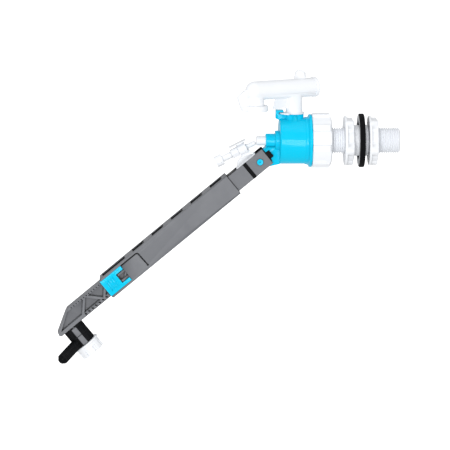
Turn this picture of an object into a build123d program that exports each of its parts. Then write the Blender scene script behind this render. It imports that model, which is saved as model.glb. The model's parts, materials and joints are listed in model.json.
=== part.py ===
from build123d import *
from math import acos, atan2, cos, hypot, pi, radians, sin
import os

# Side-entry float valve for a cistern. Millimetres, +Z up.
# The origin is on the inlet axis, in the sealing face of the wall washer.
# +X runs along the inlet out through the cistern wall, -X into the cistern.

# ---------------------------------------------------------------- driving dimensions

# Inlet tail: 1/2 in BSP parallel thread
THREAD_R = 20.955 / 2
THREAD_ROOT_R = 18.631 / 2
THREAD_PITCH = 25.4 / 14
THREAD_START_X = -26.2
COVERED_TURNS = 21
FREE_TURNS = 9
TAIL_END_X = 28.9
TAIL_BORE_R = 6.6
TAIL_NECK_X = -28.6
TAIL_FLANGE_X = -30.3
TAIL_FLANGE_R = 17.0
FILTER_SEAT_R = 7.4
FILTER_SEAT_X = -17.0

# Wall fixings
NUT_BORE_R = THREAD_R + 0.14
WASHER_X = -4.5
WASHER_R = 21.6
WASHER_RECESS_R = 14.7
BUSH_R = 12.4
BUSH_START_X = -8.5
BUSH_END_X = 3.2
INNER_NUT_X = -15.9
OUTER_NUT_X = 3.6
BACK_NUT_FLANGE_R = 19.8
BACK_NUT_FLANGE_T = 2.0
BACK_NUT_LENGTH = 7.3
BACK_NUT_R = 17.0
BACK_NUT_LOBES = 5
LOBE_R = 7.0
LOBE_CENTRE_R = 13.0

# Coupling nut
COUPLING_START_X = -42.2
COUPLING_END_X = -26.3
COUPLING_WALL = 2.2
COUPLING_R = 20.3
COUPLING_RIB_R = 22.7
COUPLING_RIB_W = 5.3
COUPLING_RIBS = 8
COUPLING_RIB_TURN = 9.7

# Valve body
BODY_FRONT_X = -68.2
BODY_R = 18.6
BODY_FLANGE_X = -44.5
BODY_FLANGE_R = 21.3
BODY_SPIGOT_R = 18.0
BODY_END_X = -31.7
CHAMBER_R = 15.5
CHAMBER_FRONT_X = -62.3
POCKET_FRONT_X = -65.9
POCKET_R = 9.5
COLLAR_X = -71.5
COLLAR_R = 8.2
BOSS_X = -79.2
BOSS_R = 5.8
GUIDE_R = 3.90

# Outlet neck, vertical, and the spout that swivels in it
NECK_X = -56.3
NECK_R = 7.7
NECK_BORE_R = 5.9
NECK_TOP_Z = 22.0
SPOUT_TURN = 25.0
SPOUT_TUBE_Z = 42.5
SPOUT_TUBE_R = 7.7
SPOUT_BORE_R = 5.9
SPOUT_REACH = 35.0
SPOUT_BACK = 20.0
STEM_R = 6.7
STEM_BORE_R = 3.6
DROP_R = 6.6
DROP_BORE_R = 5.2
OUTLET_Z = 25.9
OUTLET_COLLAR_R = 9.8
OUTLET_COLLAR_H = 4.7

# Plunger, diaphragm and seat
PLUNGER_R = 3.85
PLUNGER_HEAD_R = 8.5
PLUNGER_FACE_X = -86.685
DIAPHRAGM_T = 1.4
DIAPHRAGM_R = 15.3
SEAT_X = -54.6

# Float arm: pivot, and its direction below the horizontal at rest
PIVOT = (-83.9, -16.4)
ARM_DROP = 39.6
EYE_R = 5.4
PLATE_T = 9.8
PIN_R = 2.0
PIN_HEAD_R = 2.55
LEVER_H = 14.6
LEVER_W = 14.3
LEVER_START = -7.6
LEVER_END = 62.0
SLEEVE_START = 28.0
SLEEVE_END = 160.8
SLEEVE_H = 18.8
SLEEVE_W = 18.0
SLEEVE_CAVITY_W = 14.7
EXTENSION_START = 96.0
EXTENSION_H = 14.0
EXTENSION_W = 13.4
BARREL_A = 201.0
BARREL_R = 8.85
CORE_R = 6.4
CORE_END = -24.1
KEY_TOP = -8.3
KEY_W = 4.4
RING_TOPS = (-7.45, -15.8)
RING_L = 8.25
STEM_HOLE_R = 4.1

# Adjusting screw: its nose relative to the pivot, and its slope
NOSE = (-3.1, 15.2)
SCREW_SLOPE = 26.8
SCREW_R = 3.0
SCREW_PITCH = 1.0
NOSE_R = 2.0

# Thumb screw in the lower end of the arm
THUMB_TURN = 43.0
THUMB_N = -19.9
THUMB_END_R = 33.0
THUMB_HEAD_R = 4.4
THUMB_HOLE_R = 2.6
THUMB_HOLE_DEPTH = 12.0

os.makedirs("parts", exist_ok=True)


# ---------------------------------------------------------------- frames and profiles

ARM_DIR = Vector(-cos(radians(ARM_DROP)), 0, -sin(radians(ARM_DROP)))
ARM_UP = Vector(-sin(radians(ARM_DROP)), 0, cos(radians(ARM_DROP)))
PIVOT_POINT = Vector(PIVOT[0], 0, PIVOT[1])

# Local x runs down the arm, local y across its height, z into +Y.
ARM = Plane(origin=PIVOT_POINT, x_dir=ARM_DIR, z_dir=(0, 1, 0))


def across_arm(a):
    """Plane square to the arm at distance a from the pivot: local x is -Y, y is up the arm's height."""
    return Plane(origin=PIVOT_POINT + ARM_DIR * a, x_dir=(0, -1, 0), z_dir=ARM_DIR)


def above_arm(n, a=0.0):
    """Plane parallel to the arm's top at height n: local x runs down the arm, y is -Y."""
    origin = PIVOT_POINT + ARM_DIR * a + ARM_UP * n
    return Plane(origin=origin, x_dir=ARM_DIR, z_dir=ARM_UP)


def outline(points, plane=Plane.XZ):
    """Closed flat face through the points."""
    with BuildSketch(plane) as face:
        with BuildLine():
            Polyline(*points, close=True)
        make_face()
    return face.sketch


def ring_thread(start, turns, pitch, root_r, crest_r, crest_width):
    """Outline points of a male thread drawn as parallel rings; crest_width 0 gives sharp crests."""
    points = []
    for turn in range(turns):
        x = start + turn * pitch
        points.append((x, root_r))
        points.append((x + 0.16 * pitch, root_r))
        points.append((x + (0.58 - crest_width / 2) * pitch, crest_r))
        if crest_width:
            points.append((x + (0.58 + crest_width / 2) * pitch, crest_r))
    points.append((start + turns * pitch, root_r))
    return points


def box_face(low, high, plane):
    """Rectangle between two corners, on the plane."""
    return outline([low, (high[0], low[1]), high, (low[0], high[1])], plane)


def save(piece, label):
    """Name the piece and write its STEP file."""
    piece.part.label = label
    export_step(piece.part, f"parts/{label}.step")


# ---------------------------------------------------------------- inlet tail and what sits in it

TAIL_POINTS = [
    (TAIL_FLANGE_X, FILTER_SEAT_R),
    (TAIL_FLANGE_X, TAIL_FLANGE_R),
    (TAIL_NECK_X, TAIL_FLANGE_R),
    (TAIL_NECK_X, THREAD_ROOT_R),
]
FREE_THREAD_X = THREAD_START_X + COVERED_TURNS * THREAD_PITCH
TAIL_POINTS += ring_thread(THREAD_START_X, COVERED_TURNS, THREAD_PITCH, THREAD_ROOT_R, THREAD_R, 0)[:-1]
TAIL_POINTS += ring_thread(FREE_THREAD_X, FREE_TURNS, THREAD_PITCH, THREAD_ROOT_R, THREAD_R, 0.16)
TAIL_POINTS += [
    (TAIL_END_X, THREAD_ROOT_R - 0.5),
    (TAIL_END_X, TAIL_BORE_R),
    (FILTER_SEAT_X, TAIL_BORE_R),
    (FILTER_SEAT_X, FILTER_SEAT_R),
]

with BuildPart() as inlet_tail:
    revolve(outline(TAIL_POINTS), axis=Axis.X)
save(inlet_tail, "inlet_tail")

FILTER_R = FILTER_SEAT_R - 0.05
FILTER_TUBE_R = 5.6
with BuildPart() as inlet_filter:
    revolve(
        outline(
            [
                (TAIL_FLANGE_X + 0.1, 4.6),
                (TAIL_FLANGE_X + 0.1, FILTER_R),
                (TAIL_FLANGE_X + 1.3, FILTER_R),
                (TAIL_FLANGE_X + 1.3, FILTER_TUBE_R),
                (FILTER_SEAT_X - 0.8, FILTER_TUBE_R),
                (FILTER_SEAT_X - 0.8, 0),
                (FILTER_SEAT_X - 2.0, 0),
                (FILTER_SEAT_X - 2.0, 4.6),
            ]
        ),
        axis=Axis.X,
    )
    with BuildSketch(Plane.YZ.offset(FILTER_SEAT_X - 3.2)):
        with PolarLocations(5.0, 10):
            Rectangle(3.0, 1.3)
    extrude(amount=-7.0, mode=Mode.SUBTRACT)
save(inlet_filter, "inlet_filter")

with BuildPart() as union_washer:
    with BuildSketch(Plane.YZ.offset(BODY_END_X)):
        Circle(15.6)
        Circle(8.4, mode=Mode.SUBTRACT)
    extrude(amount=TAIL_FLANGE_X - BODY_END_X)
save(union_washer, "union_washer")


# ---------------------------------------------------------------- valve body


def tangent_point(point, side):
    """Where a line from the point touches the pivot eye; side is +1 above and -1 below."""
    dx, dz = point[0] - PIVOT[0], point[1] - PIVOT[1]
    turn = atan2(dz, dx) + side * acos(EYE_R / hypot(dx, dz))
    return (PIVOT[0] + EYE_R * cos(turn), PIVOT[1] + EYE_R * sin(turn))


PLATE_CORNER = (-75.2, -19.9)
with BuildPart() as valve_body:
    # outside: nose boss, collar, drum, flange and threaded spigot
    revolve(
        outline(
            [
                (BOSS_X, 0),
                (BOSS_X, BOSS_R - 0.4),
                (BOSS_X + 0.4, BOSS_R),
                (COLLAR_X, BOSS_R),
                (COLLAR_X, COLLAR_R),
                (BODY_FRONT_X, COLLAR_R),
                (BODY_FRONT_X, BODY_R - 0.9),
                (BODY_FRONT_X + 0.9, BODY_R),
                (BODY_FLANGE_X - 3.4, BODY_R),
                (BODY_FLANGE_X - 3.1, BODY_R + 0.5),
                (BODY_FLANGE_X - 1.0, BODY_R + 0.5),
                (BODY_FLANGE_X, BODY_FLANGE_R),
                (COUPLING_START_X - 0.15, BODY_FLANGE_R),
                (COUPLING_START_X - 0.15, BODY_SPIGOT_R),
                (BODY_END_X, BODY_SPIGOT_R),
                (BODY_END_X, 0),
            ]
        ),
        axis=Axis.X,
    )
    # pivot plate below the nose
    with BuildSketch(Plane.XZ):
        with BuildLine():
            Polyline(
                (BOSS_X, -4.6),
                tangent_point((BOSS_X, -4.6), 1),
                tangent_point(PLATE_CORNER, -1),
                PLATE_CORNER,
                (BODY_FRONT_X + 0.4, -18.2),
                (BODY_FRONT_X + 0.4, -4.6),
                close=True,
            )
        make_face()
        with Locations(PIVOT):
            Circle(EYE_R)
    extrude(amount=PLATE_T / 2, both=True)
    # outlet neck
    with BuildSketch(Plane.XY.offset(12.0)):
        with Locations((NECK_X, 0)):
            Circle(NECK_R)
    extrude(amount=NECK_TOP_Z - 12.0)
    # hook that the spout's lug turns under: foot, upright and lip
    with BuildSketch(Plane.XZ):
        with BuildLine():
            Polyline(
                (NECK_X - 6.5, 17.0),
                (NECK_X - 6.5, 21.9),
                (NECK_X - 12.3, 21.9),
                (NECK_X - 12.3, 23.3),
                (NECK_X - 8.7, 23.3),
                (NECK_X - 8.7, 25.0),
                (NECK_X - 14.9, 25.0),
                (NECK_X - 14.9, 18.4),
                (NECK_X - 11.5, 17.0),
                close=True,
            )
        make_face()
    extrude(amount=3.4, both=True)
    # index pip on the front of the neck, and the moulding nub under the flange
    with BuildSketch(Plane.XZ.offset(NECK_R - 1.5)):
        with Locations((NECK_X, 18.4)):
            Rectangle(4.3, 5.0)
    extrude(amount=2.1)
    with BuildSketch(Plane.XY.offset(-BODY_R - 0.9)):
        with Locations((BODY_FLANGE_X - 0.6, 0)):
            Circle(1.1)
    extrude(amount=1.6)
    # chamber, plunger pocket and plunger guide
    revolve(
        outline(
            [
                (BOSS_X - 1, 0),
                (BOSS_X - 1, GUIDE_R),
                (POCKET_FRONT_X, GUIDE_R),
                (POCKET_FRONT_X, POCKET_R),
                (CHAMBER_FRONT_X, POCKET_R),
                (CHAMBER_FRONT_X, CHAMBER_R),
                (BODY_END_X + 1, CHAMBER_R),
                (BODY_END_X + 1, 0),
            ]
        ),
        axis=Axis.X,
        mode=Mode.SUBTRACT,
    )
    # outlet bore and pin hole
    with BuildSketch(Plane.XY.offset(8.0)):
        with Locations((NECK_X, 0)):
            Circle(NECK_BORE_R)
    extrude(amount=NECK_TOP_Z, mode=Mode.SUBTRACT)
    with BuildSketch(Plane.XZ):
        with Locations(PIVOT):
            Circle(PIN_R)
    extrude(amount=PLATE_T, both=True, mode=Mode.SUBTRACT)
save(valve_body, "valve_body")


# ---------------------------------------------------------------- inside the body

CARTRIDGE_R = CHAMBER_R - 0.1
SKIRT_BORE_R = 13.4
NOZZLE_R = 4.4
NOZZLE_BORE_R = 2.4
RESTRICTOR_SEAT_R = 3.5
with BuildPart() as seat_cartridge:
    revolve(
        outline(
            [
                (SEAT_X, NOZZLE_BORE_R),
                (SEAT_X, NOZZLE_BORE_R + 0.5),
                (SEAT_X + 2.0, NOZZLE_R),
                (BODY_END_X - 2.4, NOZZLE_R),
                (BODY_END_X - 2.4, SKIRT_BORE_R),
                (CHAMBER_FRONT_X + DIAPHRAGM_T, SKIRT_BORE_R),
                (CHAMBER_FRONT_X + DIAPHRAGM_T, CARTRIDGE_R),
                (BODY_END_X, CARTRIDGE_R),
                (BODY_END_X, RESTRICTOR_SEAT_R),
                (BODY_END_X - 2.2, RESTRICTOR_SEAT_R),
                (BODY_END_X - 2.2, NOZZLE_BORE_R),
            ]
        ),
        axis=Axis.X,
    )
    with BuildSketch(Plane.XY.offset(8.0)):
        with Locations((NECK_X, 0)):
            Circle(NECK_BORE_R - 1.0)
    extrude(amount=CHAMBER_R, mode=Mode.SUBTRACT)
save(seat_cartridge, "seat_cartridge")

with BuildPart() as flow_restrictor:
    with BuildSketch(Plane.YZ.offset(BODY_END_X - 2.1)):
        Circle(RESTRICTOR_SEAT_R - 0.05)
        Circle(1.2, mode=Mode.SUBTRACT)
    extrude(amount=1.8)
save(flow_restrictor, "flow_restrictor")

with BuildPart() as diaphragm:
    revolve(
        outline(
            [
                (CHAMBER_FRONT_X, 0),
                (CHAMBER_FRONT_X, DIAPHRAGM_R),
                (CHAMBER_FRONT_X + DIAPHRAGM_T, DIAPHRAGM_R),
                (CHAMBER_FRONT_X + DIAPHRAGM_T, 5.0),
                (CHAMBER_FRONT_X + 2.8, 5.0),
                (CHAMBER_FRONT_X + 2.8, 0),
            ]
        ),
        axis=Axis.X,
    )
save(diaphragm, "diaphragm")

with BuildPart() as plunger:
    revolve(
        outline(
            [
                (PLUNGER_FACE_X, 0),
                (PLUNGER_FACE_X, PLUNGER_R - 0.3),
                (PLUNGER_FACE_X + 0.3, PLUNGER_R),
                (POCKET_FRONT_X + 0.2, PLUNGER_R),
                (POCKET_FRONT_X + 0.2, PLUNGER_HEAD_R),
                (CHAMBER_FRONT_X - 0.2, PLUNGER_HEAD_R),
                (CHAMBER_FRONT_X - 0.2, 0),
            ]
        ),
        axis=Axis.X,
    )
save(plunger, "plunger")


# ---------------------------------------------------------------- coupling nut

with BuildPart() as coupling_nut:
    with BuildSketch(Plane.YZ.offset(COUPLING_START_X)):
        Circle(COUPLING_R)
        with PolarLocations(COUPLING_RIB_R - 2.1, COUPLING_RIBS, start_angle=COUPLING_RIB_TURN):
            Rectangle(4.2, COUPLING_RIB_W)
    extrude(amount=COUPLING_END_X - COUPLING_START_X)
    # cone that rounds off the tail end of the ribs
    revolve(
        outline(
            [
                (COUPLING_END_X - 2.1, 24.0),
                (COUPLING_END_X - 2.1, COUPLING_RIB_R + 0.2),
                (COUPLING_END_X, 17.8),
                (COUPLING_END_X + 1, 17.8),
                (COUPLING_END_X + 1, 24.0),
            ]
        ),
        axis=Axis.X,
        mode=Mode.SUBTRACT,
    )
    with BuildSketch(Plane.YZ.offset(COUPLING_START_X)):
        Circle(BODY_SPIGOT_R + 0.12)
    extrude(amount=COUPLING_END_X - COUPLING_WALL - COUPLING_START_X, mode=Mode.SUBTRACT)
    with BuildSketch(Plane.YZ.offset(COUPLING_END_X)):
        Circle(NUT_BORE_R)
    extrude(amount=-2 * COUPLING_WALL, mode=Mode.SUBTRACT)
save(coupling_nut, "coupling_nut")


# ---------------------------------------------------------------- wall fixings

WASHER_GROOVES = 3
with BuildPart() as wall_washer:
    revolve(
        outline(
            [
                (WASHER_X + 1.4, BUSH_R + 0.1),
                (WASHER_X + 1.4, WASHER_RECESS_R),
                (WASHER_X, WASHER_RECESS_R),
                (WASHER_X, WASHER_R - 0.9),
                (WASHER_X + 0.9, WASHER_R),
                (-0.6, WASHER_R),
                (0, WASHER_R - 0.6),
                (0, BUSH_R + 0.1),
            ]
        ),
        axis=Axis.X,
    )
    # fine grooves round the rim
    for groove in range(WASHER_GROOVES):
        x = WASHER_X + 1.3 + groove * 0.85
        revolve(
            outline([(x, WASHER_R + 0.1), (x + 0.2, WASHER_R - 0.3), (x + 0.4, WASHER_R + 0.1)]),
            axis=Axis.X,
            mode=Mode.SUBTRACT,
        )
save(wall_washer, "wall_washer")

with BuildPart() as centring_bush:
    revolve(
        outline(
            [
                (BUSH_START_X, NUT_BORE_R),
                (BUSH_START_X, BUSH_R - 0.3),
                (BUSH_START_X + 0.3, BUSH_R),
                (BUSH_END_X - 0.6, BUSH_R),
                (BUSH_END_X, BUSH_R - 0.6),
                (BUSH_END_X, NUT_BORE_R),
            ]
        ),
        axis=Axis.X,
    )
save(centring_bush, "centring_bush")

for nut_name, nut_x in (("inner_lock_nut", INNER_NUT_X), ("outer_back_nut", OUTER_NUT_X)):
    with BuildPart() as back_nut:
        with BuildSketch(Plane.YZ.offset(nut_x)):
            Circle(BACK_NUT_R)
            with PolarLocations(LOBE_CENTRE_R, BACK_NUT_LOBES, start_angle=-90):
                Circle(LOBE_R)
        extrude(amount=BACK_NUT_LENGTH)
        chamfer(back_nut.faces().sort_by(Axis.X)[-1].edges(), 0.6)
        revolve(
            outline(
                [
                    (nut_x, 0),
                    (nut_x, BACK_NUT_FLANGE_R - 0.3),
                    (nut_x + 0.3, BACK_NUT_FLANGE_R),
                    (nut_x + BACK_NUT_FLANGE_T - 0.3, BACK_NUT_FLANGE_R),
                    (nut_x + BACK_NUT_FLANGE_T, BACK_NUT_FLANGE_R - 0.3),
                    (nut_x + BACK_NUT_FLANGE_T, 0),
                ]
            ),
            axis=Axis.X,
        )
        with BuildSketch(Plane.YZ.offset(nut_x)):
            Circle(NUT_BORE_R)
        extrude(amount=BACK_NUT_LENGTH, mode=Mode.SUBTRACT)
        chamfer(back_nut.edges().filter_by(GeomType.CIRCLE).sort_by(SortBy.RADIUS)[:2], 0.5)
    save(back_nut, nut_name)


# ---------------------------------------------------------------- outlet spout

SPOUT_DIR = Vector(-cos(radians(SPOUT_TURN)), -sin(radians(SPOUT_TURN)), 0)
NECK_AXIS = Vector(NECK_X, 0, 0)
# Local x runs from the stem to the outlet, local y is +Z.
SPOUT = Plane(origin=NECK_AXIS, x_dir=SPOUT_DIR, z_dir=SPOUT_DIR.cross(Vector(0, 0, 1)))
DROP_AXIS = NECK_AXIS + SPOUT_DIR * SPOUT_REACH
ELBOW_S = SPOUT_REACH + 1.2
LUG_SPAN = 90.0
LUG_MIDDLE = 200.0
LUG_R = 12.0
LUG_Z = 22.1
SPIGOT_R = 5.55
GROOVE_Z = 19.6


def tube_end(s):
    """Plane square to the spout's level tube, s along it from the stem."""
    origin = NECK_AXIS + SPOUT_DIR * s + Vector(0, 0, SPOUT_TUBE_Z)
    return Plane(origin=origin, x_dir=(0, 0, 1), z_dir=SPOUT_DIR)


with BuildPart() as outlet_spout:
    # level tube
    with BuildSketch(tube_end(-SPOUT_BACK + 3.5)):
        Circle(SPOUT_TUBE_R)
    extrude(amount=SPOUT_BACK - 3.5 + ELBOW_S)
    # round elbow over the drop
    with Locations(NECK_AXIS + SPOUT_DIR * ELBOW_S + Vector(0, 0, SPOUT_TUBE_Z)):
        Sphere(SPOUT_TUBE_R)
    # drop and its collar
    with BuildSketch(Plane.XY.offset(OUTLET_Z)):
        with Locations((DROP_AXIS.X, DROP_AXIS.Y)):
            Circle(DROP_R)
    extrude(amount=SPOUT_TUBE_Z - OUTLET_Z)
    with BuildSketch(Plane.XY.offset(OUTLET_Z)):
        with Locations((DROP_AXIS.X, DROP_AXIS.Y)):
            Circle(OUTLET_COLLAR_R)
    extrude(amount=OUTLET_COLLAR_H)
    chamfer(
        outlet_spout.edges().filter_by(GeomType.CIRCLE).filter_by(
            lambda edge: abs(edge.radius - OUTLET_COLLAR_R) < 0.01
        ),
        0.5,
    )
    # stem down to the neck, its flange and the lug that goes under the hook
    with BuildSketch(Plane.XY.offset(LUG_Z)):
        with Locations((NECK_X, 0)):
            Circle(STEM_R)
    extrude(amount=SPOUT_TUBE_Z - LUG_Z)
    with BuildSketch(Plane.XY.offset(LUG_Z)):
        with Locations((NECK_X, 0)):
            Circle(8.3)
        with BuildLine():
            lug_arc = CenterArc((NECK_X, 0), LUG_R, LUG_MIDDLE - LUG_SPAN / 2, LUG_SPAN)
            Line((NECK_X, 0), lug_arc @ 0)
            Line((NECK_X, 0), lug_arc @ 1)
        make_face()
    extrude(amount=1.0)
    with BuildSketch(Plane.XY.offset(LUG_Z)):
        with Locations((NECK_X, 0)):
            Circle(SPIGOT_R)
    extrude(amount=-4.6)
    # tab on top, web in the corner and fin beyond the elbow
    top = SPOUT_TUBE_Z + SPOUT_TUBE_R
    tab = [
        (0.2, top - 2),
        (-1.4, top + 5.4),
        (-2.2, top + 6.6),
        (-7.6, top + 6.4),
        (-9.9, top + 4.8),
        (-9.9, top - 2),
    ]
    extrude(outline(tab, SPOUT), amount=1.2, both=True)
    web = [(5.0, 37.0), (17.0, 37.0), (19.3, 26.6), (5.0, 26.6)]
    extrude(outline(web, SPOUT), amount=1.0, both=True)
    fin = [
        (SPOUT_REACH + 5, 44.5),
        (SPOUT_REACH + 10.6, 43.4),
        (SPOUT_REACH + 17.0, 38.8),
        (SPOUT_REACH + 17.0, 36.6),
        (SPOUT_REACH + 13.6, 27.6),
        (SPOUT_REACH + 12.6, 26.4),
        (SPOUT_REACH + 5, 26.4),
    ]
    extrude(outline(fin, SPOUT), amount=1.0, both=True)
    # waterways: level bore, stem bore, drop bore, and the o-ring groove round the spigot
    with BuildSketch(tube_end(-SPOUT_BACK)):
        Circle(SPOUT_BORE_R)
    extrude(amount=SPOUT_BACK + SPOUT_REACH + 1.0, mode=Mode.SUBTRACT)
    with BuildSketch(Plane.XY.offset(LUG_Z - 5)):
        with Locations((NECK_X, 0)):
            Circle(STEM_BORE_R)
    extrude(amount=SPOUT_TUBE_Z - LUG_Z + 5, mode=Mode.SUBTRACT)
    with BuildSketch(Plane.XY.offset(OUTLET_Z)):
        with Locations((DROP_AXIS.X, DROP_AXIS.Y)):
            Circle(DROP_BORE_R)
    extrude(amount=SPOUT_TUBE_Z - OUTLET_Z, mode=Mode.SUBTRACT)
    with BuildSketch(Plane.XY.offset(GROOVE_Z - 0.85)):
        with Locations((NECK_X, 0)):
            Circle(SPIGOT_R + 1)
            Circle(4.35, mode=Mode.SUBTRACT)
    extrude(amount=1.7, mode=Mode.SUBTRACT)
save(outlet_spout, "outlet_spout")

CAP_R = SPOUT_TUBE_R + 0.35
with BuildPart() as spout_end_cap:
    with BuildSketch(tube_end(-SPOUT_BACK)):
        Circle(CAP_R)
    extrude(amount=3.5)
    fillet(spout_end_cap.edges().group_by(Axis.X)[-1], 0.8)
    with BuildSketch(tube_end(-SPOUT_BACK + 3.5)):
        Circle(SPOUT_BORE_R - 0.04)
        Circle(SPOUT_BORE_R - 1.4, mode=Mode.SUBTRACT)
    extrude(amount=4.0)
save(spout_end_cap, "spout_end_cap")

with BuildPart() as spout_o_ring:
    with BuildSketch(Plane.XZ):
        with Locations((NECK_X + 5.12, GROOVE_Z)):
            Circle(0.74)
    revolve(axis=Axis((NECK_X, 0, 0), (0, 0, 1)))
save(spout_o_ring, "spout_o_ring")


# ---------------------------------------------------------------- pivot pin

HEAD_T = 0.9
with BuildPart() as pivot_pin:
    with BuildSketch(Plane.XZ):
        with Locations(PIVOT):
            Circle(PIN_R)
    extrude(amount=LEVER_W / 2 + 0.2, both=True)
    for side in (1, -1):
        with BuildSketch(Plane.XZ.offset(side * (LEVER_W / 2 + 0.1))):
            with Locations(PIVOT):
                Circle(PIN_HEAD_R)
        extrude(amount=side * HEAD_T)
    chamfer(pivot_pin.faces().sort_by(Axis.Y)[0].edges(), 0.3)
    chamfer(pivot_pin.faces().sort_by(Axis.Y)[-1].edges(), 0.3)
    with BuildSketch(Plane.XZ.offset(LEVER_W / 2 + 0.1 + HEAD_T)):
        with Locations(PIVOT):
            Circle(0.5)
    extrude(amount=-0.5, mode=Mode.SUBTRACT)
save(pivot_pin, "pivot_pin")


# ---------------------------------------------------------------- lever, its liner, bracket and clip

LINER_IN, LINER_OUT = 5.05, 6.0
CHEEK_IN, CHANNEL_IN = 6.05, 5.55
FLOOR_N = -5.8
FLOOR_START = 7.2
CHANNEL_START = 9.0
CLIP_START, CLIP_END = 9.1, 12.2
CLIP_DEPTH = 0.6
HALF_H = LEVER_H / 2
PEG_A = 42.0
with BuildPart() as lever:
    extrude(box_face((LEVER_START, -HALF_H), (LEVER_END, HALF_H), ARM), amount=LEVER_W / 2, both=True)
    # open channel, wider round the liner, with no floor where the pivot plate passes
    for start, end, floor, half_width in (
        (LEVER_START, FLOOR_START, -HALF_H, CHEEK_IN),
        (FLOOR_START, CHANNEL_START, FLOOR_N, CHEEK_IN),
        (CHANNEL_START, LEVER_END - 1.5, FLOOR_N, CHANNEL_IN),
    ):
        channel = box_face((start, floor), (end, HALF_H), ARM)
        extrude(channel, amount=half_width, both=True, mode=Mode.SUBTRACT)
    # groove for the clip
    with BuildSketch(across_arm(CLIP_START)):
        Rectangle(LEVER_W + 2, LEVER_H + 2)
        with Locations((0, (2 + CLIP_DEPTH) / 2)):
            Rectangle(LEVER_W - 2 * CLIP_DEPTH, LEVER_H + 2 - CLIP_DEPTH, mode=Mode.SUBTRACT)
    extrude(amount=CLIP_END - CLIP_START, mode=Mode.SUBTRACT)
    # pin hole
    with BuildSketch(Plane.XZ):
        with Locations(PIVOT):
            Circle(PIN_R + 0.05)
    extrude(amount=LEVER_W, both=True, mode=Mode.SUBTRACT)
    # snap peg that holds it in the sleeve
    peg = [
        (PEG_A, FLOOR_N),
        (PEG_A, -HALF_H - 0.4),
        (PEG_A + 3.5, -HALF_H - 1.5),
        (PEG_A + 4, -HALF_H - 1.5),
        (PEG_A + 4, FLOOR_N),
    ]
    extrude(outline(peg, ARM), amount=2.5, both=True)
save(lever, "lever")

with BuildPart() as lever_liner:
    extrude(box_face((-8.3, -5.4), (8.8, HALF_H + 0.25), ARM), amount=LINER_OUT, both=True)
    extrude(box_face((-11.5, -3.2), (-7.75, 3.0), ARM), amount=LEVER_W / 2, both=True)
    extrude(box_face((-12, -6), (7.0, 8), ARM), amount=LINER_IN, both=True, mode=Mode.SUBTRACT)
    extrude(box_face((6.9, 5.0), (9.5, 8), ARM), amount=LEVER_W, both=True, mode=Mode.SUBTRACT)
    # the bracket's rail rests on the liner's cheeks behind this step
    extrude(box_face((-1.2, 6.3), (9.5, 8), ARM), amount=LEVER_W, both=True, mode=Mode.SUBTRACT)
    with BuildSketch(Plane.XZ):
        with Locations(PIVOT):
            Circle(PIN_R + 0.05)
    extrude(amount=LEVER_W, both=True, mode=Mode.SUBTRACT)
save(lever_liner, "lever_liner")

# Adjusting screw frame: local x runs back from the nose along the screw, y above it.
NOSE_POINT = PIVOT_POINT + Vector(NOSE[0], 0, NOSE[1])
SCREW_DIR = Vector(cos(radians(SCREW_SLOPE)), 0, sin(radians(SCREW_SLOPE)))
SCREW = Plane(origin=NOSE_POINT, x_dir=SCREW_DIR * -1, z_dir=(0, 1, 0))
SCREW_AXIS = Axis(NOSE_POINT, SCREW_DIR)


def across_screw(s):
    """Plane square to the adjusting screw, s back from its nose."""
    return Plane(origin=NOSE_POINT - SCREW_DIR * s, x_dir=(0, 1, 0), z_dir=SCREW_DIR * -1)


BRACKET_BOSS_R = 4.5
BRACKET_BOSS = (8.6, 15.6)
RAIL_N = 6.4
with BuildPart() as screw_bracket:
    # rail in the top of the lever's channel, deeper behind the liner
    extrude(box_face((-1.0, RAIL_N), (18.0, 7.7), ARM), amount=CHANNEL_IN - 0.05, both=True)
    extrude(box_face((9.2, 1.0), (17.6, RAIL_N), ARM), amount=CHANNEL_IN - 0.05, both=True)
    # web up to the boss, and the guard over the screw
    web = [(-0.6, 7.5), (17.4, 7.5), (13.6, 11.4), (8.2, 12.2), (6.8, 15.0), (1.4, 14.0)]
    extrude(outline(web, ARM), amount=1.6, both=True)
    with BuildSketch(across_screw(BRACKET_BOSS[0])):
        Circle(BRACKET_BOSS_R)
    extrude(amount=BRACKET_BOSS[1] - BRACKET_BOSS[0])
    extrude(box_face((9.4, 3.4), (14.8, 5.4), SCREW), amount=1.3, both=True)
    extrude(box_face((6.7, 5.2), (21.3, 6.2), SCREW), amount=4.4, both=True)
    with BuildSketch(across_screw(BRACKET_BOSS[0] - 1)):
        Circle(SCREW_R + 0.1)
    extrude(amount=BRACKET_BOSS[1] - BRACKET_BOSS[0] + 2, mode=Mode.SUBTRACT)
save(screw_bracket, "screw_bracket")

with BuildPart() as bracket_clip:
    with BuildSketch(across_arm(CLIP_START + 0.05)):
        Rectangle(LEVER_W + 0.2, LEVER_H + 0.2)
        with Locations((0, 0.6)):
            Rectangle(LEVER_W - 2 * CLIP_DEPTH + 0.04, LEVER_H + 0.2, mode=Mode.SUBTRACT)
    extrude(amount=CLIP_END - CLIP_START - 0.1)
save(bracket_clip, "bracket_clip")


# ---------------------------------------------------------------- adjusting screw

TIP_LENGTH = 3.5
HEAD_START, HEAD_END, HEAD_R = 29.7, 35.9, 4.65
with BuildPart() as screw_nose:
    with BuildSketch(SCREW):
        with BuildLine():
            nose_arc = CenterArc((NOSE_R, 0), NOSE_R, 90, 90)
            Polyline(nose_arc @ 0, (TIP_LENGTH, NOSE_R), (TIP_LENGTH, 0), nose_arc @ 1)
        make_face()
    revolve(axis=SCREW_AXIS)
save(screw_nose, "screw_nose")

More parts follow.
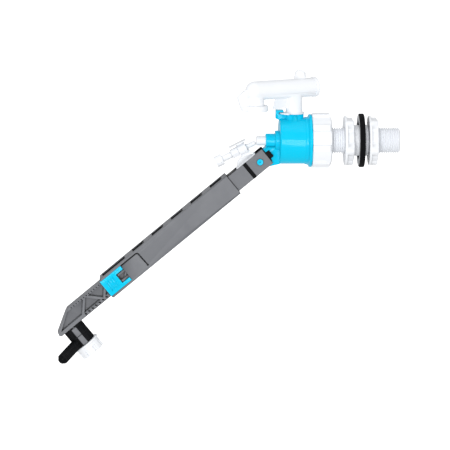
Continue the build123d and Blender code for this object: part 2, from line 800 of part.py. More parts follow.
SCREW_POINTS = [(TIP_LENGTH, 0), (TIP_LENGTH, NOSE_R), (7.4, NOSE_R)]
SCREW_POINTS += ring_thread(7.4, 15, SCREW_PITCH, SCREW_R - 0.55, SCREW_R, 0.16)
SCREW_POINTS += [
    (22.6, 2.65),
    (HEAD_START, 2.65),
    (HEAD_START, HEAD_R - 0.4),
    (HEAD_START + 0.4, HEAD_R),
    (HEAD_END - 0.6, HEAD_R),
    (HEAD_END, HEAD_R - 0.6),
    (HEAD_END, 0),
]
with BuildPart() as adjusting_screw:
    revolve(outline(SCREW_POINTS, SCREW), axis=SCREW_AXIS)
    with BuildSketch(across_screw(HEAD_END)):
        Rectangle(1.2, 3 * HEAD_R)
    extrude(amount=-1.6, mode=Mode.SUBTRACT)
    with BuildSketch(across_screw(HEAD_END)):
        with PolarLocations(HEAD_R + 0.35, 14):
            Circle(0.6)
    extrude(amount=HEAD_START - HEAD_END, mode=Mode.SUBTRACT)
save(adjusting_screw, "adjusting_screw")

LOCK_NUT_R, LOCK_NUT_L = 3.6, 6.0
with BuildPart() as screw_lock_nut:
    with BuildSketch(across_screw(BRACKET_BOSS[1] + 0.1)):
        RegularPolygon(LOCK_NUT_R, 6, major_radius=False)
        Circle(SCREW_R + 0.08, mode=Mode.SUBTRACT)
    extrude(amount=LOCK_NUT_L)
save(screw_lock_nut, "screw_lock_nut")


# ---------------------------------------------------------------- arm sleeve, its liner and the latch

SLEEVE_HALF_W = SLEEVE_W / 2
HALF_SLEEVE = SLEEVE_H / 2
CAVITY_HALF_W = SLEEVE_CAVITY_W / 2
CAVITY_BOTTOM, CAVITY_TOP = -7.45, 8.2
LINER_BOTTOM = 7.38
WINDOWS = 5
FIRST_WINDOW = 32.4
WINDOW_PITCH = 20.2
WINDOW_L = 11.6
WINDOW_W = 13.6
LONG_WINDOW_START, LONG_WINDOW_END = 133.0, 156.0
LATCH_START, LATCH_HALF_N = 139.4, 7.35
NOTCH_END = 147.0
NOTCH_LOW, NOTCH_HIGH = -4.5, 3.9
GROOVE_W = 1.1
END_BEVEL = 2.9


def dovetail(half_n, near, far, slope):
    """Section of the latch's way in the wall: wider on the inside face."""
    return [(near, -half_n - slope), (near, half_n + slope), (far, half_n), (far, -half_n)]


with BuildPart() as arm_sleeve:
    with BuildSketch(across_arm(SLEEVE_START)):
        RectangleRounded(SLEEVE_W, SLEEVE_H, 0.9)
    extrude(amount=SLEEVE_END - SLEEVE_START)
    # chamfered lower end
    chamfer(arm_sleeve.faces().sort_by(Axis(PIVOT_POINT, ARM_DIR))[-1].edges(), 0.8)
    with BuildSketch(across_arm(SLEEVE_START)):
        with Locations((0, (CAVITY_BOTTOM + CAVITY_TOP) / 2)):
            Rectangle(SLEEVE_CAVITY_W, CAVITY_TOP - CAVITY_BOTTOM)
    extrude(amount=SLEEVE_END - SLEEVE_START, mode=Mode.SUBTRACT)
    # bevel across the top of the lower end
    bevel = [
        (SLEEVE_END - END_BEVEL, HALF_SLEEVE),
        (SLEEVE_END, HALF_SLEEVE),
        (SLEEVE_END, HALF_SLEEVE - END_BEVEL),
    ]
    extrude(outline(bevel, ARM), amount=SLEEVE_W, both=True, mode=Mode.SUBTRACT)
    # windows in the top wall
    with BuildSketch(above_arm(CAVITY_TOP - 0.1)):
        for window in range(WINDOWS):
            with Locations((FIRST_WINDOW + window * WINDOW_PITCH + WINDOW_L / 2, 0)):
                Rectangle(WINDOW_L, WINDOW_W)
        with Locations(((LONG_WINDOW_START + LONG_WINDOW_END) / 2, 0)):
            Rectangle(LONG_WINDOW_END - LONG_WINDOW_START, WINDOW_W)
    extrude(amount=2.5, mode=Mode.SUBTRACT)
    # slot for the lever's snap peg
    with BuildSketch(above_arm(CAVITY_BOTTOM + 0.1)):
        with Locations((PEG_A + 2.0, 0)):
            Rectangle(4.3, 5.4)
    extrude(amount=-2.6, mode=Mode.SUBTRACT)
    # dovetail way for the latch in the near wall, then the two prongs that stand in its notch
    latch_way = dovetail(LATCH_HALF_N + 0.1, CAVITY_HALF_W - 0.1, SLEEVE_HALF_W + 0.1, 0.45)
    extrude(outline(latch_way, across_arm(LATCH_START)), amount=30, mode=Mode.SUBTRACT)
    for low, high, thickness in (
        (NOTCH_LOW + 0.5, NOTCH_LOW + 2.2, 1.5),
        (NOTCH_HIGH - 2.4, NOTCH_HIGH - 0.5, 0.8),
    ):
        prong = box_face((LATCH_START - 1, low), (NOTCH_END - 0.6, high), ARM.offset(-CAVITY_HALF_W))
        extrude(prong, amount=-thickness)
    # L-shaped groove that frees the finger panel
    with BuildSketch(ARM.offset(-CAVITY_HALF_W + 0.1)):
        with BuildLine() as groove_line:
            FilletPolyline((LATCH_START + 0.1, 7.0), (122.4, 7.0), (122.0, -6.4), radius=2.0)
        trace(line_width=GROOVE_W)
        with Locations((122.0, -6.2)):
            Circle(0.8)
    extrude(amount=-3, mode=Mode.SUBTRACT)
save(arm_sleeve, "arm_sleeve")

LINER_END = SLEEVE_END - 3.6
TAIL_START = 19.8
TAIL_TOP = 7.5
with BuildPart() as slide_liner:
    extrude(
        box_face((SLEEVE_START + 1.0, LINER_BOTTOM), (LINER_END, CAVITY_TOP), ARM),
        amount=CAVITY_HALF_W - 0.1,
        both=True,
    )
    # tail that lies in the lever's channel
    tail = box_face((TAIL_START, 3.0), (SLEEVE_START + 2.5, TAIL_TOP), ARM)
    extrude(tail, amount=CHANNEL_IN - 0.1, both=True)
    # bar across each window
    for window in range(WINDOWS):
        start = FIRST_WINDOW + window * WINDOW_PITCH + 0.2
        bar = box_face((start, CAVITY_TOP), (start + 1.6, CAVITY_TOP + 0.7), ARM)
        extrude(bar, amount=WINDOW_W / 2 - 0.2, both=True)
save(slide_liner, "slide_liner")

RIDGES = 4
with BuildPart() as arm_latch:
    latch_section = dovetail(LATCH_HALF_N, CAVITY_HALF_W + 0.02, SLEEVE_HALF_W + 0.15, 0.42)
    extrude(outline(latch_section, across_arm(LATCH_START + 0.3)), amount=SLEEVE_END - LATCH_START - 0.3)
    extrude(
        box_face((LATCH_START - 2, NOTCH_LOW), (NOTCH_END, NOTCH_HIGH), ARM.offset(-CAVITY_HALF_W + 1)),
        amount=-6,
        mode=Mode.SUBTRACT,
    )
    # raised grip ridges across the latch
    with BuildSketch(ARM.offset(-SLEEVE_HALF_W - 0.1)):
        for ridge in range(RIDGES):
            with Locations((NOTCH_END + 3.4 + ridge * 2.2, 0)):
                Rectangle(0.8, 9.0)
    extrude(amount=-0.35)
save(arm_latch, "arm_latch")


# ---------------------------------------------------------------- arm extension

EXT_HALF_H = EXTENSION_H / 2
EXT_BOTTOM = -7.2
EXT_HALF_W = EXTENSION_W / 2
WEB_HALF = 1.2
PANEL_LOW, PANEL_HIGH = -4.2, 5.1
NODE_A = 177.7
HALF_PITCH = 11.0
PANEL_HALF = 8.6
STRUT_GAP = HALF_PITCH - PANEL_HALF
BAYS = 7
TOOTH_PITCH = 3.6
TEETH = 24
NOTCH_PITCH = 2.6
NOTCHES = 34
RACK_DEPTH = 1.8
TIP = [
    (EXTENSION_START, EXT_BOTTOM),
    (EXTENSION_START, EXT_HALF_H),
    (194.6, EXT_HALF_H),
    (197.2, EXT_HALF_H - 1.2),
    (213.2, EXT_BOTTOM + 3.6),
    (213.6, EXT_BOTTOM + 1.4),
    (212.4, EXT_BOTTOM),
]
END_PANEL = [
    (NODE_A + HALF_PITCH, PANEL_LOW),
    (210.4, PANEL_LOW),
    (196.7, PANEL_HIGH),
    (NODE_A + STRUT_GAP, PANEL_HIGH),
]

with BuildPart() as arm_extension:
    extrude(outline(TIP, ARM), amount=EXT_HALF_W, both=True)
    # pockets of the truss on both sides: triangles point up and down by turns from the end panel
    pockets = [END_PANEL]
    for bay in range(BAYS):
        middle = NODE_A - bay * HALF_PITCH
        base, apex = (PANEL_HIGH, PANEL_LOW) if bay % 2 else (PANEL_LOW, PANEL_HIGH)
        pockets.append([(middle - PANEL_HALF, base), (middle + PANEL_HALF, base), (middle, apex)])
    for side in (1, -1):
        for corners in pockets:
            extrude(
                outline(corners, ARM.offset(side * (EXT_HALF_W + 0.1))),
                amount=-side * (EXT_HALF_W + 0.1 - WEB_HALF),
                mode=Mode.SUBTRACT,
            )
        # rack teeth in the lower chord, and a finer row of notches in the upper one
        with BuildSketch(ARM.offset(side * (EXT_HALF_W + 0.1))):
            for tooth in range(TEETH):
                with Locations((NODE_A + 8.0 - tooth * TOOTH_PITCH, (PANEL_LOW + EXT_BOTTOM) / 2 + 0.2)):
                    Rectangle(1.2, 1.9, rotation=-40)
            for notch in range(NOTCHES):
                with Locations((NODE_A + 14.0 - notch * NOTCH_PITCH, PANEL_HIGH + 0.8)):
                    Rectangle(0.9, 0.9)
        extrude(amount=-side * (RACK_DEPTH + 0.1), mode=Mode.SUBTRACT)
    # barrel core under the free end, with a key on the near side
    with BuildSketch(above_arm(EXT_BOTTOM + 0.5, BARREL_A)):
        Circle(CORE_R)
    extrude(amount=CORE_END - EXT_BOTTOM - 0.5)
    with BuildSketch(above_arm(KEY_TOP, BARREL_A)):
        with Locations((0, (CORE_R + BARREL_R) / 2 - 0.5)):
            Rectangle(KEY_W, BARREL_R - CORE_R + 1.0)
    extrude(amount=CORE_END - KEY_TOP)
    with BuildSketch(above_arm(RING_TOPS[1] + 0.35, BARREL_A)):
        with Locations((0, BARREL_R + 0.5)):
            Rectangle(6.0, 2.0)
    extrude(amount=-0.5, mode=Mode.SUBTRACT)
    with BuildSketch(above_arm(CORE_END, BARREL_A)):
        Circle(STEM_HOLE_R)
    extrude(amount=16.0, mode=Mode.SUBTRACT)
    # hole for the thumb screw
    thumb_plane = Plane(
        origin=PIVOT_POINT + ARM_DIR * BARREL_A + ARM_UP * THUMB_N,
        x_dir=ARM_UP,
        z_dir=ARM_DIR * cos(radians(THUMB_TURN)) + Vector(0, -sin(radians(THUMB_TURN)), 0),
    )
    with BuildSketch(thumb_plane):
        Circle(THUMB_HOLE_R)
    extrude(amount=THUMB_HOLE_DEPTH, mode=Mode.SUBTRACT)
save(arm_extension, "arm_extension")

KNURLS = 56


def knurled(radius, depth, count):
    """Points of a round outline with fine V grooves."""
    points = []
    for i in range(2 * count):
        r = radius - depth * (i % 2)
        points.append((r * cos(pi * i / count), r * sin(pi * i / count)))
    return points


for ring_name, ring_top in zip(("barrel_ring_upper", "barrel_ring_lower"), RING_TOPS):
    with BuildPart() as barrel_ring:
        extrude(outline(knurled(BARREL_R, 0.3, KNURLS), above_arm(ring_top, BARREL_A)), amount=-RING_L)
        with BuildSketch(above_arm(ring_top, BARREL_A)):
            Circle(CORE_R + 0.05)
            with Locations((0, BARREL_R)):
                Rectangle(KEY_W + 0.1, 6.0)
        extrude(amount=-RING_L, mode=Mode.SUBTRACT)
        with BuildSketch(thumb_plane):
            Circle(THUMB_HOLE_R)
        extrude(amount=THUMB_HOLE_DEPTH, mode=Mode.SUBTRACT)
    save(barrel_ring, ring_name)


# ---------------------------------------------------------------- thumb screw and its pad


def across_thumb(r):
    """Plane square to the thumb screw, r out from the barrel's axis."""
    return thumb_plane.offset(r)


PAD_START, PAD_END = 4.12, 5.12
with BuildPart() as thumb_pad:
    with BuildSketch(across_thumb(PAD_START)):
        Circle(THUMB_HOLE_R - 0.2)
    extrude(amount=PAD_END - PAD_START)
save(thumb_pad, "thumb_pad")

THUMB_KNURLS = 22
THUMB_HEAD_START = BARREL_R + 0.45
along_thumb = Plane(
    origin=thumb_plane.origin,
    x_dir=thumb_plane.x_dir,
    z_dir=thumb_plane.x_dir.cross(thumb_plane.z_dir),
)
with BuildPart() as thumb_screw:
    head = outline(knurled(THUMB_HEAD_R, 0.35, THUMB_KNURLS), across_thumb(THUMB_HEAD_START))
    extrude(head, amount=THUMB_END_R - THUMB_HEAD_START)
    # round off the free end
    rounding = [
        (THUMB_HEAD_R + 1, THUMB_END_R + 1),
        (THUMB_HEAD_R + 1, THUMB_END_R - 3.6),
        (THUMB_HEAD_R - 0.35, THUMB_END_R - 3.2),
        (THUMB_HEAD_R - 1.6, THUMB_END_R - 1.0),
        (THUMB_HEAD_R - 3.0, THUMB_END_R),
        (0, THUMB_END_R),
        (0, THUMB_END_R + 1),
    ]
    revolve(
        outline(rounding, along_thumb),
        axis=Axis(thumb_plane.origin, thumb_plane.z_dir),
        mode=Mode.SUBTRACT,
    )
    with BuildSketch(across_thumb(PAD_END + 0.02)):
        Circle(THUMB_HOLE_R - 0.1)
    extrude(amount=THUMB_HEAD_START + 0.5 - PAD_END)
save(thumb_screw, "thumb_screw")


# ---------------------------------------------------------------- float connector

CUP_TOP = -24.4
CUP_BOTTOM = -34.2
SOCKET_R = 6.0
with BuildPart() as float_connector:
    with BuildSketch(above_arm(CUP_TOP, BARREL_A)):
        Circle(11.0)
    extrude(amount=-1.4)
    with BuildSketch(above_arm(CUP_TOP - 1.4, BARREL_A)):
        Circle(10.0)
    extrude(amount=CUP_BOTTOM - CUP_TOP + 1.4)
    with BuildSketch(above_arm(CUP_TOP, BARREL_A)):
        Circle(STEM_HOLE_R - 0.06)
    extrude(amount=14.6)
    with BuildSketch(above_arm(CUP_BOTTOM, BARREL_A)):
        Circle(SOCKET_R)
    extrude(amount=7.6, mode=Mode.SUBTRACT)
    with BuildSketch(above_arm(CUP_BOTTOM, BARREL_A)):
        with PolarLocations(10.0, 8, start_angle=22.5):
            Rectangle(4.0, 2.6)
    extrude(amount=5.4, mode=Mode.SUBTRACT)
save(float_connector, "float_connector")
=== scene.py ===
import json
import math

import bmesh
import bpy
from mathutils import Matrix, Vector
from mathutils.bvhtree import BVHTree
from mathutils.kdtree import KDTree


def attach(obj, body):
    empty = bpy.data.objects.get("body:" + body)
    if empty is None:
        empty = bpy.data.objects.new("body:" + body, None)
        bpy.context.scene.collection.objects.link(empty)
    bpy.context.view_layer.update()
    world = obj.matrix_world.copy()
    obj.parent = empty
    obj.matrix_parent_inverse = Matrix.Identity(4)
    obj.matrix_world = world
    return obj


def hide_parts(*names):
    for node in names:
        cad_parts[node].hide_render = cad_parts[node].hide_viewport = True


# Looks of a side-entry float valve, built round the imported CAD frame.
# Metres, +Z up, the inlet along +X.

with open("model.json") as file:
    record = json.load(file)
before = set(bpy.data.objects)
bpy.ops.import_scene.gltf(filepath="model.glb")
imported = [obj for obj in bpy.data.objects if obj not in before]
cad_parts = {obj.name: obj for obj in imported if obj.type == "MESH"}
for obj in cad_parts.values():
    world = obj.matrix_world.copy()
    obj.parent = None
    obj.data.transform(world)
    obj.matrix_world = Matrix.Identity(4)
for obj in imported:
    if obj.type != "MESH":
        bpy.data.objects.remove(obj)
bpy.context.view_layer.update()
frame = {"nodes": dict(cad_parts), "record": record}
nodes = frame["nodes"]
body_of_node = {
    node: body
    for body, members in frame["record"]["behaviour"]["bodies"].items()
    for node in members
}
slot_of_node = {
    row["node"]: row["material_slot"] for row in frame["record"]["subparts"]
}

MM = 0.001


# ---------------------------------------------------------------- materials

# Frequencies of the patterns in the plastic, per metre.
CLOUDS = 38.0
SCRATCHES = 900.0
WEAR = 140.0
SINKS = 70.0
SINK_DEPTH = 0.00012
SINK_STRENGTH = 0.35
GRAIN_STRENGTH = 0.6
SCRATCH_STRETCH = (0.06, 1.0, 0.35)
SCRATCH_ROUGHNESS = 0.12
SMOOTHER, ROUGHER = 0.86, 1.16
# How far the rounded normal turns from the true one, as the cosine, where the painted edge shading is full
# and where it starts.
LINE_FULL, LINE_START = 0.80, 0.985
SHADER_SAMPLES = 6


def socket(shader, name, value):
    """Sets a constant straight on the shader's own socket."""
    shader.inputs[name].default_value = value


def noise(tree, coords, per_metre, detail=2.0, roughness=0.5, stretch=None):
    """Noise in the object's own frame; per_metre is its frequency. Returns the factor's output socket."""
    source = coords
    if stretch:
        mapping = tree.nodes.new("ShaderNodeMapping")
        mapping.inputs["Scale"].default_value = stretch
        tree.links.new(coords, mapping.inputs["Vector"])
        source = mapping.outputs["Vector"]
    node = tree.nodes.new("ShaderNodeTexNoise")
    node.inputs["Scale"].default_value = per_metre
    node.inputs["Detail"].default_value = detail
    node.inputs["Roughness"].default_value = roughness
    tree.links.new(source, node.inputs["Vector"])
    return node.outputs["Fac"]


def map_range(tree, value, low, high, to_low, to_high):
    """value from low..high to to_low..to_high, clamped."""
    node = tree.nodes.new("ShaderNodeMapRange")
    node.inputs["From Min"].default_value = low
    node.inputs["From Max"].default_value = high
    node.inputs["To Min"].default_value = to_low
    node.inputs["To Max"].default_value = to_high
    tree.links.new(value, node.inputs["Value"])
    return node.outputs["Result"]


def mix(tree, factor, first, second):
    """Colour between first and second; each is a colour or an output socket."""
    node = tree.nodes.new("ShaderNodeMix")
    node.data_type = "RGBA"
    tree.links.new(factor, node.inputs["Factor"])
    for value, name in ((first, "A"), (second, "B")):
        entry = next(i for i in node.inputs if i.name == name and i.type == "RGBA")
        if isinstance(value, tuple):
            entry.default_value = (*value, 1.0)
        else:
            tree.links.new(value, entry)
    return next(o for o in node.outputs if o.type == "RGBA")


def edge_mask(tree, radius):
    """1 along sharp edges and in tight corners, within radius of them, and 0 on open faces."""
    bevel = tree.nodes.new("ShaderNodeBevel")
    bevel.samples = SHADER_SAMPLES
    bevel.inputs["Radius"].default_value = radius
    geometry = tree.nodes.new("ShaderNodeNewGeometry")
    dot = tree.nodes.new("ShaderNodeVectorMath")
    dot.operation = "DOT_PRODUCT"
    tree.links.new(bevel.outputs["Normal"], dot.inputs[0])
    tree.links.new(geometry.outputs["Normal"], dot.inputs[1])
    return map_range(tree, dot.outputs["Value"], LINE_START, LINE_FULL, 0.0, 1.0)


def moulded_plastic(
    name,
    colour,
    shade,
    edge,
    roughness,
    grain_size,
    grain_depth,
    edge_shading_strength=0.5,
    specular=0.5,
    edge_shading_width=0.0006,
    corner_shade=(0.75, 0.30, 0.8),
    reach=0.0022,
    corner_shade_colour=None,
):
    """Injection-moulded plastic: cloudy colour, fine grain, faint scuffs, painted edge shading along each
    edge and painted shade in corners.

    shade is the darker cloud colour; edge is the colour of the painted edge shading, a painted shade line
    where it is darker than the body and a painted highlight where it is lighter; corner_shade_colour is the
    painted shade in
    corners, or None for the edge colour. grain_size, grain_depth, edge_shading_width and reach are in
    metres:
    edge_shading_width is how far from an edge its painted shading goes, and reach how far the look for
    corners goes.
    corner_shade is the openness at which the painted corner shade starts, the one at which it is darkest,
    and how much it darkens.
    """
    material = bpy.data.materials.new(name)
    material.use_nodes = True
    tree = material.node_tree
    shader = tree.nodes["Principled BSDF"]
    coords = tree.nodes.new("ShaderNodeTexCoord").outputs["Object"]

    clouds = map_range(tree, noise(tree, coords, CLOUDS, 3.0), 0.32, 0.68, 0.0, 1.0)
    body = mix(tree, clouds, colour, shade)
    # Painted edge shading: the edge colour laid along every sharp edge, a painted shade line, or a painted
    # highlight where the edge colour is lighter.
    painted_edge_shading = map_range(tree, edge_mask(tree, edge_shading_width), 0.0, 1.0, 0.0, edge_shading_strength)
    edge_shaded = mix(tree, painted_edge_shading, body, edge)
    # Painted shade in corners and between parts: where little is open round a point, the colour darkens
    # towards the corner colour.
    openness = tree.nodes.new("ShaderNodeAmbientOcclusion")
    openness.samples = SHADER_SAMPLES
    openness.inputs["Distance"].default_value = reach
    painted_corner_shade = map_range(tree, openness.outputs["AO"], corner_shade[0], corner_shade[1], 0.0, corner_shade[2])
    tree.links.new(mix(tree, painted_corner_shade, edge_shaded, corner_shade_colour or edge), shader.inputs["Base Color"])

    scratch = noise(tree, coords, SCRATCHES, stretch=SCRATCH_STRETCH)
    scratched = map_range(tree, scratch, 0.60, 0.74, 0.0, SCRATCH_ROUGHNESS)
    patches = noise(tree, coords, WEAR)
    worn = map_range(tree, patches, 0.30, 0.70, roughness * SMOOTHER, roughness * ROUGHER)
    total = tree.nodes.new("ShaderNodeMath")
    total.operation = "ADD"
    tree.links.new(worn, total.inputs[0])
    tree.links.new(scratched, total.inputs[1])
    tree.links.new(total.outputs["Value"], shader.inputs["Roughness"])

    grain = noise(tree, coords, 1.0 / grain_size, roughness=0.6)
    sink = noise(tree, coords, SINKS, detail=1.0)
    sink_bump = tree.nodes.new("ShaderNodeBump")
    sink_bump.inputs["Strength"].default_value = SINK_STRENGTH
    sink_bump.inputs["Distance"].default_value = SINK_DEPTH
    tree.links.new(sink, sink_bump.inputs["Height"])
    grain_bump = tree.nodes.new("ShaderNodeBump")
    grain_bump.inputs["Strength"].default_value = GRAIN_STRENGTH
    grain_bump.inputs["Distance"].default_value = grain_depth
    tree.links.new(grain, grain_bump.inputs["Height"])
    tree.links.new(sink_bump.outputs["Normal"], grain_bump.inputs["Normal"])
    tree.links.new(grain_bump.outputs["Normal"], shader.inputs["Normal"])

    socket(shader, "Specular IOR Level", specular)
    return material


# In each finish the third colour is the painted edge shading, darker than the body as a painted shade line;
# corners also get painted shade.
WHITE = moulded_plastic(
    "white_plastic",
    (0.84, 0.86, 0.89),
    (0.81, 0.83, 0.865),
    (0.36, 0.39, 0.44),
    roughness=0.34,
    grain_size=0.00045,
    grain_depth=0.000006,
    edge_shading_strength=0.38,
    specular=0.4,
    corner_shade=(0.50, 0.15, 0.2),
)
CYAN = moulded_plastic(
    "cyan_plastic",
    (0.003, 0.56, 0.82),
    (0.002, 0.52, 0.77),
    (0.0005, 0.22, 0.40),
    roughness=0.17,
    grain_size=0.0005,
    grain_depth=0.000003,
    edge_shading_strength=0.8,
    specular=0.11,
)
GREY = moulded_plastic(
    "grey_plastic",
    (0.165, 0.171, 0.185),
    (0.151, 0.156, 0.170),
    (0.02, 0.02, 0.022),
    roughness=0.5,
    grain_size=0.0005,
    grain_depth=0.000022,
    edge_shading_strength=0.55,
    specular=0.3,
    corner_shade=(0.80, 0.60, 1.0),
    reach=0.0016,
    corner_shade_colour=(0.004, 0.004, 0.0045),
)
# The black's edge colour is lighter than its body: a painted highlight along the edges of the black parts.
BLACK = moulded_plastic(
    "black_plastic",
    (0.006, 0.0065, 0.0075),
    (0.0045, 0.005, 0.0058),
    (0.075, 0.078, 0.082),
    roughness=0.38,
    grain_size=0.0005,
    grain_depth=0.00002,
    specular=0.04,
    edge_shading_width=0.0004,
    corner_shade_colour=(0.0005, 0.0005, 0.0005),
)
RUBBER = moulded_plastic(
    "black_rubber",
    (0.007, 0.0072, 0.008),
    (0.005, 0.0052, 0.006),
    (0.001, 0.001, 0.001),
    roughness=0.62,
    grain_size=0.0007,
    grain_depth=0.00003,
    specular=0.06,
)


# Painted sheen on the wall washer: its face towards the valve is painted light grey, in patches, for the
# light falling on it.
PAINTED_SHEEN = (0.62, 0.63, 0.64)
SHEEN_PATCHES = 320.0
THINNEST_SHEEN = 0.75
# X of the surface normal where the painted sheen starts and where it is full: the face towards the valve has
# -1.
SHEEN_START, SHEEN_FULL = -0.93, -0.99


def sheen_painted_rubber():
    """The rubber of the wall washer, with a painted sheen, light grey in patches, on its face towards the
    valve.
    """
    material = RUBBER.copy()
    material.name = "sheen_painted_rubber"
    tree = material.node_tree
    shader = tree.nodes["Principled BSDF"]
    rubber = shader.inputs["Base Color"].links[0].from_socket
    coords = tree.nodes.new("ShaderNodeTexCoord")
    axis = tree.nodes.new("ShaderNodeSeparateXYZ")
    tree.links.new(coords.outputs["Normal"], axis.inputs["Vector"])
    facing = map_range(tree, axis.outputs["X"], SHEEN_START, SHEEN_FULL, 0.0, 1.0)
    patches = noise(tree, coords.outputs["Object"], SHEEN_PATCHES, 3.0)
    patchy = map_range(tree, patches, 0.3, 0.7, THINNEST_SHEEN, 1.0)
    sheen_amount = tree.nodes.new("ShaderNodeMath")
    sheen_amount.operation = "MULTIPLY"
    tree.links.new(facing, sheen_amount.inputs[0])
    tree.links.new(patchy, sheen_amount.inputs[1])
    tree.links.new(mix(tree, sheen_amount.outputs["Value"], rubber, PAINTED_SHEEN), shader.inputs["Base Color"])
    return material


SHEEN_RUBBER = sheen_painted_rubber()
FILTER = moulded_plastic(
    "filter_plastic",
    (0.72, 0.73, 0.75),
    (0.68, 0.69, 0.71),
    (0.40, 0.42, 0.44),
    roughness=0.45,
    grain_size=0.0005,
    grain_depth=0.00001,
)
FINISH = {
    "white": WHITE,
    "cyan": CYAN,
    "grey": GREY,
    "black": BLACK,
    "filter": FILTER,
    "seal": RUBBER,
}
# The part that gets the rubber with the painted sheen on its face towards the valve.
SHEEN_NODE = "wall_washer"


def finish_with(obj, material):
    """The object's only material."""
    obj.data.materials.clear()
    obj.data.materials.append(material)


# ---------------------------------------------------------------- moulded pieces

# Radius of the rounded edges of each piece that shows, in millimetres.
EDGE_RADIUS = {
    "valve_body": 0.35,
    "coupling_nut": 0.4,
    "inner_lock_nut": 0.2,
    "outer_back_nut": 0.2,
    "centring_bush": 0.2,
    "wall_washer": 0.1,
    "outlet_spout": 0.25,
    "spout_end_cap": 0.25,
    "pivot_pin": 0.12,
    "plunger": 0.2,
    "lever": 0.35,
    "lever_liner": 0.2,
    "bracket_clip": 0.12,
    "screw_bracket": 0.25,
    "screw_lock_nut": 0.25,
    "adjusting_screw": 0.08,
    "arm_sleeve": 0.25,
    "slide_liner": 0.15,
    "arm_latch": 0.2,
    "arm_extension": 0.25,
    "barrel_ring_upper": 0.1,
    "barrel_ring_lower": 0.1,
    "thumb_screw": 0.12,
    "float_connector": 0.35,
}
SHARP = math.radians(28)
SAME_POINT = 1e-6
FLAT = math.radians(0.4)
# An edge is rounded by no more than this part of the shortest smooth edge that meets it.
EDGE_SHARE = 0.35
SLIVER = 1e-11
# Cosine below which a face counts as turned over.
AGAINST = -0.1
WEIGHT = "bevel_weight_edge"
# Times that folded corners are looked for, and how far round each the rounding comes off, in radii.
MENDS = 8
MEND_REACH = 1.5


def rounded(node, radius):
    """A copy of the CAD node with merged facets and rounded edges, which stands for the node.

    Returns the copy and the CAD surface, to compare them.
    """
    shape = bmesh.new()
    shape.from_mesh(nodes[node].data)
    bmesh.ops.remove_doubles(shape, verts=shape.verts, dist=SAME_POINT)
    surface = BVHTree.FromBMesh(shape)
    bmesh.ops.dissolve_limit(
        shape, angle_limit=FLAT, verts=shape.verts, edges=shape.edges, use_dissolve_boundaries=False
    )
    bmesh.ops.triangulate(shape, faces=shape.faces, ngon_method="BEAUTY")
    weight = shape.edges.layers.float.new(WEIGHT)
    sharp = [e for e in shape.edges if len(e.link_faces) == 2 and e.calc_face_angle() > SHARP]
    corner_edges = set(sharp)
    for edge in sharp:
        smooth_lengths = (
            other.calc_length()
            for vert in edge.verts
            for other in vert.link_edges
            if other not in corner_edges
        )
        edge[weight] = min(1.0, EDGE_SHARE * min(smooth_lengths, default=1.0) / radius)
    data = bpy.data.meshes.new(node + "_moulded")
    shape.to_mesh(data)
    shape.free()
    for face in data.polygons:
        face.use_smooth = True
    obj = bpy.data.objects.new(node + "_moulded", data)
    bpy.context.scene.collection.objects.link(obj)
    bevel = obj.modifiers.new("rounded_edges", "BEVEL")
    bevel.width = radius
    bevel.segments = 2
    bevel.limit_method = "WEIGHT"
    bevel.use_clamp_overlap = False
    bevel.loop_slide = False
    bevel.miter_outer = "MITER_SHARP"
    bevel.harden_normals = True
    data.set_sharp_from_angle(angle=SHARP)
    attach(obj, body_of_node[node])
    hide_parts(node)
    finish_with(obj, SHEEN_RUBBER if node == SHEEN_NODE else FINISH[slot_of_node[node]])
    return obj, surface


def turned_over(obj, surface, depsgraph):
    """Corners of the rounded object's faces that face against the CAD surface beside them."""
    evaluated = obj.evaluated_get(depsgraph)
    mesh = evaluated.to_mesh()
    mesh.calc_loop_triangles()
    points = [vert.co.copy() for vert in mesh.vertices]
    found = []
    for triangle in mesh.loop_triangles:
        if triangle.area < SLIVER:
            continue
        corners = [points[index] for index in triangle.vertices]
        outward = surface.find_nearest(sum(corners, Vector()) / 3)[1]
        if triangle.normal.dot(outward) < AGAINST:
            found.extend(corners)
    evaluated.to_mesh_clear()
    return found


def leave_square(data, spots, reach):
    """Takes the rounding off the edges that end within reach of the spots."""
    tree = KDTree(len(data.vertices))
    for vert in data.vertices:
        tree.insert(vert.co, vert.index)
    tree.balance()
    near = {tree.find(spot)[1] for spot in spots}
    near.update(index for spot in spots for _, index, _ in tree.find_range(spot, reach))
    weights = data.attributes[WEIGHT].data
    for edge in data.edges:
        if near.intersection(edge.vertices):
            weights[edge.index].value = 0.0
    data.update()


for node, obj in nodes.items():
    finish_with(obj, FINISH[slot_of_node[node]])
moulded = {node: rounded(node, radius * MM) for node, radius in EDGE_RADIUS.items()}
for _ in range(MENDS):
    bpy.context.view_layer.update()
    depsgraph = bpy.context.evaluated_depsgraph_get()
    folds = {node: turned_over(*moulded[node], depsgraph) for node in moulded}
    for node, spots in folds.items():
        if spots:
            leave_square(moulded[node][0].data, spots, MEND_REACH * EDGE_RADIUS[node] * MM)
        else:
            del moulded[node]


# ---------------------------------------------------------------- stage

FLOOR_Z = -0.215
FLOOR_HALF_SIZE = 30.0
PAPER_FIBRES = 60.0
PAPER_GLOW = 0.75


def level_floor():
    """Flat floor that fills the view from every side."""
    shape = bmesh.new()
    corners = [
        shape.verts.new((x * FLOOR_HALF_SIZE, y * FLOOR_HALF_SIZE, FLOOR_Z))
        for x, y in ((-1, -1), (1, -1), (1, 1), (-1, 1))
    ]
    shape.faces.new(corners)
    data = bpy.data.meshes.new("studio_floor")
    shape.to_mesh(data)
    shape.free()
    obj = bpy.data.objects.new("studio_floor", data)
    bpy.context.scene.collection.objects.link(obj)
    return obj


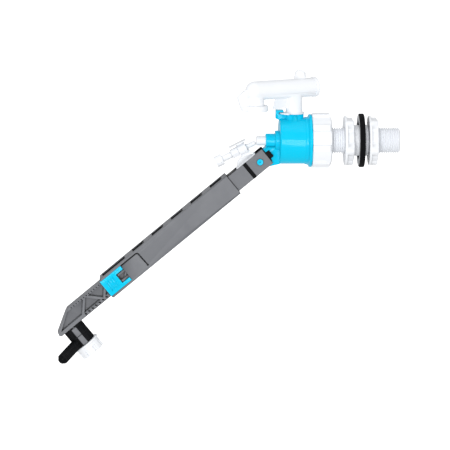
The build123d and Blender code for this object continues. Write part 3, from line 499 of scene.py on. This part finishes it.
def paper():
    """Matt white paper that glows, so that it stays pale away from the lights."""
    material = bpy.data.materials.new("studio_paper")
    material.use_nodes = True
    tree = material.node_tree
    shader = tree.nodes["Principled BSDF"]
    coords = tree.nodes.new("ShaderNodeTexCoord").outputs["Object"]
    fibres = map_range(tree, noise(tree, coords, PAPER_FIBRES, 4.0), 0.3, 0.7, 0.0, 1.0)
    tree.links.new(mix(tree, fibres, (0.90, 0.90, 0.90), (0.88, 0.88, 0.885)), shader.inputs["Base Color"])
    socket(shader, "Roughness", 0.9)
    socket(shader, "Specular IOR Level", 0.1)
    socket(shader, "Emission Color", (1.0, 1.0, 1.0, 1.0))
    socket(shader, "Emission Strength", PAPER_GLOW)
    return material


floor = level_floor()
finish_with(floor, paper())
floor.visible_diffuse = False
floor.visible_glossy = False
floor.visible_shadow = False


def area_light(name, place, target, size, watts):
    """Square soft light at place, facing target."""
    data = bpy.data.lights.new(name, "AREA")
    data.energy = watts
    data.size = size
    obj = bpy.data.objects.new(name, data)
    obj.location = place
    obj.rotation_euler = (Vector(target) - Vector(place)).to_track_quat("-Z", "Y").to_euler()
    bpy.context.scene.collection.objects.link(obj)


MIDDLE = (-0.11, 0.0, -0.06)
area_light("front_key", (-0.55, -2.3, -0.1), MIDDLE, size=1.0, watts=31.0)
area_light("top_soft", (-0.1, -0.5, 1.7), MIDDLE, size=1.2, watts=6.0)

SKY_STRENGTH = 0.71
world = bpy.data.worlds.new("studio")
bpy.context.scene.world = world
world.use_nodes = True
backdrop = world.node_tree.nodes["Background"]
backdrop.inputs["Color"].default_value = (1.0, 1.0, 1.0, 1.0)
backdrop.inputs["Strength"].default_value = SKY_STRENGTH
bpy.context.scene.view_settings.view_transform = "Standard"


# ---------------------------------------------------------------- camera

CAMERA_AZIMUTH = -3.784
CAMERA_ELEVATION = 8.576
CAMERA_ROLL = 0.3025
CAMERA_DISTANCE = 6.0
CAMERA_TARGET = Vector((-0.11143, 0.0, -0.06832))
PHOTO_WIDTH_PX = 450
MM_PER_PX = 0.8044
FIELD_WIDTH = PHOTO_WIDTH_PX * MM_PER_PX * MM


def make_camera():
    """Long lens at the object's side, a little above it and turned a little to its left."""
    azimuth, elevation = math.radians(CAMERA_AZIMUTH), math.radians(CAMERA_ELEVATION)
    back = Vector(
        (
            math.sin(azimuth) * math.cos(elevation),
            -math.cos(azimuth) * math.cos(elevation),
            math.sin(elevation),
        )
    )
    data = bpy.data.cameras.new("camera")
    data.lens = data.sensor_width * CAMERA_DISTANCE / FIELD_WIDTH
    data.clip_start, data.clip_end = 0.1, 60.0
    obj = bpy.data.objects.new("camera", data)
    obj.location = CAMERA_TARGET + back * CAMERA_DISTANCE
    turn = (-back).to_track_quat("-Z", "Y").to_matrix().to_4x4()
    obj.rotation_euler = (turn @ Matrix.Rotation(math.radians(CAMERA_ROLL), 4, "Z")).to_euler()
    bpy.context.scene.collection.objects.link(obj)
    bpy.context.scene.camera = obj


make_camera()
